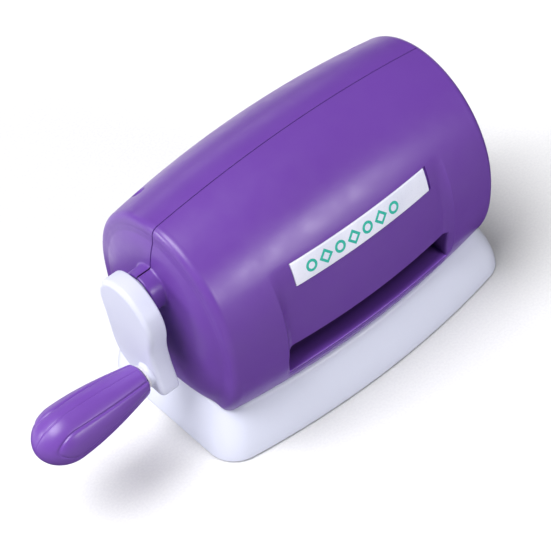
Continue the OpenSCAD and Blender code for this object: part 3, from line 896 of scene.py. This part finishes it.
GRIP_NECK = 7.2         # radius at the arm
NECK_R = 1.8            # rounding of the neck's edge
GRIP_FULL = 0.74        # share of the length where the body is widest
TIP_FROM = 0.72         # share of the length where the tip's rounding starts
PAD_AT, GRIP_SEAM_AT = math.radians(162), math.radians(97)
PAD_PROUD = 0.2         # how far a pad stands above the skin round it
GROOVE_DEEP, GROOVE_W = 0.4, 0.42
SEAM_LINE_DEEP, SEAM_LINE_W = 0.22, 0.28
PIN_R = 3.3             # hole for the pin
PIN_DEEP = 34.0


def grip_mesh():
    """The grip turned about its pin, with the hole for the pin."""
    bm = bmesh.new()
    length = (grip_high.x - grip_low.x) / MM
    full = (grip_high.y - grip_low.y) / 2 / MM
    count, steps = 420, 250

    def radius(s):
        body = GRIP_NECK + (full - GRIP_NECK) * math.sin(min(1.0, s / GRIP_FULL) * math.pi / 2)
        tip = 1.0 if s < TIP_FROM else math.sqrt(max(0.0, 1 - ((s - TIP_FROM) / (1 - TIP_FROM)) ** 2))
        return body * tip

    def turned_from(a, where, pitch):
        """Signed angle from the nearest of the places that repeat at a pitch."""
        return (a - where + pitch / 2) % pitch - pitch / 2

    def relief(a, s, r):
        """Three pads with a groove round each, open towards the arm, and the mould's seam."""
        off = abs(turned_from(a, PAD_AT, 2 * math.pi / 3))
        half = math.radians(13.5 + 14 * (min(s, TIP_FROM) / 0.68) ** 0.8)
        v = max(0.0, (s - 0.735) / 0.16)
        away = (math.hypot(off / half, v) - 1) * min(half * r, 7.0)
        groove = GROOVE_DEEP * math.exp(-((away / GROOVE_W) ** 2))
        drop = PAD_PROUD * smooth(-1.6, 0.2, away)
        across = abs(turned_from(a, GRIP_SEAM_AT, 2 * math.pi)) * r
        seam = SEAM_LINE_DEEP * math.exp(-((across / SEAM_LINE_W) ** 2))
        return -(groove + drop) * smooth(1.5, 5.0, r) - seam * smooth(0.5, 3.0, r)

    rows = []
    neck_share = NECK_R / length
    shares = [neck_share * (1 - math.cos(math.radians(90 * k / 9))) for k in range(9)]
    shares += [neck_share + (1 - neck_share) * k / steps for k in range(steps)]
    for s in shares:
        r = radius(s)
        edge = NECK_R * (1 - math.sqrt(max(0.0, 1 - (1 - min(1.0, s / neck_share)) ** 2)))
        row = []
        for k in range(count):
            a = 2 * math.pi * k / count
            far = r - edge + relief(a, s, r)
            row.append(Vector((grip_high.x / MM - s * length, grip_axis.y / MM + far * math.cos(a),
                               grip_axis.z / MM + far * math.sin(a))) * MM)
        rows.append(row)
    start = [Vector((rows[0][0].x / MM, grip_axis.y / MM + PIN_R * math.cos(2 * math.pi * k / count),
                     grip_axis.z / MM + PIN_R * math.sin(2 * math.pi * k / count))) * MM
             for k in range(count)]
    deep = [p + Vector((-PIN_DEEP * MM, 0, 0)) for p in start]
    verts = add_grid(bm, [deep, start] + rows, closed=True)
    tip = bm.verts.new(Vector((grip_low.x, grip_axis.y, grip_axis.z)))
    last = verts[-1]
    for a, b in zip(last, last[1:] + last[:1]):
        bm.faces.new((a, b, tip))
    return bm


finish_mesh(grip_mesh(), "grip_skin", grip_plastic, "grip", ["crank_grip"], sharp=60)

# ---------- floor, lights and camera ----------

FLOOR_SPLIT_Y = 0.10    # only the floor behind this, in metres, is seen in reflections
FLOOR_R = 6.0


def floor_half(name, start):
    """Half a round floor, counted from a start angle in degrees."""
    bm = bmesh.new()
    rings = []
    for r in ladder([0.0, FLOOR_R / 10, FLOOR_R], [0.08, 0.6]):
        angles = [math.radians(start + 5 * k) for k in range(37)]
        rings.append([Vector((r * math.cos(a), FLOOR_SPLIT_Y + r * math.sin(a), 0)) for a in angles])
    add_grid(bm, rings)
    bmesh.ops.remove_doubles(bm, verts=bm.verts, dist=0.0001)
    mesh = bpy.data.meshes.new(name)
    bm.to_mesh(mesh)
    bm.free()
    half = bpy.data.objects.new(name, mesh)
    bpy.context.scene.collection.objects.link(half)
    return half


floor_front = floor_half("floor_front", 180)
floor_rear = floor_half("floor_rear", 0)
paper = Tree("floor_paper")
grain = paper.noise(900, 4)
paper.set(Base_Color=paper.mix(paper.span(grain, 0, 1), linear(221, 221, 223), linear(227, 227, 228)),
          Roughness=paper.span(grain, 0.7, 0.85))
for half in (floor_front, floor_rear):
    half.data.materials.append(paper.material)
floor_front.visible_glossy = False

world = bpy.data.worlds.new("studio")
bpy.context.scene.world = world
world.use_nodes = True
backdrop = world.node_tree.nodes["Background"].inputs
backdrop["Color"].default_value = (0.93, 0.94, 1.0, 1)
backdrop["Strength"].default_value = 0.85
# the world is only a backdrop: it gives no light and no reflection
world.cycles_visibility.diffuse = False
world.cycles_visibility.glossy = False

middle = Vector((0, 0, centre_z * MM))


def aim_lamp(name, light, direction, distance):
    """Puts a light out from the middle in a direction, facing back at it."""
    lamp = bpy.data.objects.new(name, light)
    bpy.context.scene.collection.objects.link(lamp)
    way = Vector(direction).normalized()
    lamp.location = middle + way * distance
    lamp.rotation_mode = "QUATERNION"
    lamp.rotation_quaternion = (-way).to_track_quat("-Z", "Y")


def softbox(name, direction, distance, size, power):
    """Rectangular light of a width and a height in metres, and a power in watts."""
    light = bpy.data.lights.new(name, "AREA")
    light.shape = "RECTANGLE"
    light.size, light.size_y = size
    light.energy = power
    aim_lamp(name, light, direction, distance)


# a broad even light from high on the left, so wide that its shadows are soft
ceiling = bpy.data.lights.new("ceiling", "SUN")
ceiling.angle = math.radians(38)
ceiling.energy = 3.9
aim_lamp("ceiling", ceiling, (-0.40, 0.08, 0.92), 2.0)
softbox("key", (0.27, -0.865, 0.42), 1.1, (0.58, 0.25), 5.3)
softbox("left", (-0.84, 0.40, 0.36), 1.0, (0.26, 0.34), 3.5)
softbox("back", (0.1, 0.95, 0.35), 1.2, (1.2, 0.2), 1.4)

# the camera looks down at the crank's end, from the front left
turn, rise, roll = math.radians(37.69), math.radians(46.81), math.radians(-6.01)
back = Vector((-math.sin(turn) * math.cos(rise), -math.cos(turn) * math.cos(rise), math.sin(rise)))
right = Vector((math.cos(turn), -math.sin(turn), 0))
up = back.cross(right)
across = right * math.cos(roll) + up * math.sin(roll)
upward = up * math.cos(roll) - right * math.sin(roll)
eye_distance, shift_across, shift_up = 0.9213, -0.0100, -0.0237
eye = middle + back * eye_distance
aim = middle + across * shift_across + upward * shift_up
look = (eye - aim).normalized()
side = upward.cross(look).normalized()
camera = bpy.data.objects.new("camera", bpy.data.cameras.new("camera"))
bpy.context.scene.collection.objects.link(camera)
camera.matrix_world = Matrix((side, look.cross(side), look)).transposed().to_4x4()
camera.location = eye
camera.data.sensor_width = 36
camera.data.lens = 142.6
camera.data.clip_start, camera.data.clip_end = 0.05, 20
bpy.context.scene.camera = camera
bpy.context.scene.view_settings.view_transform = "Standard"
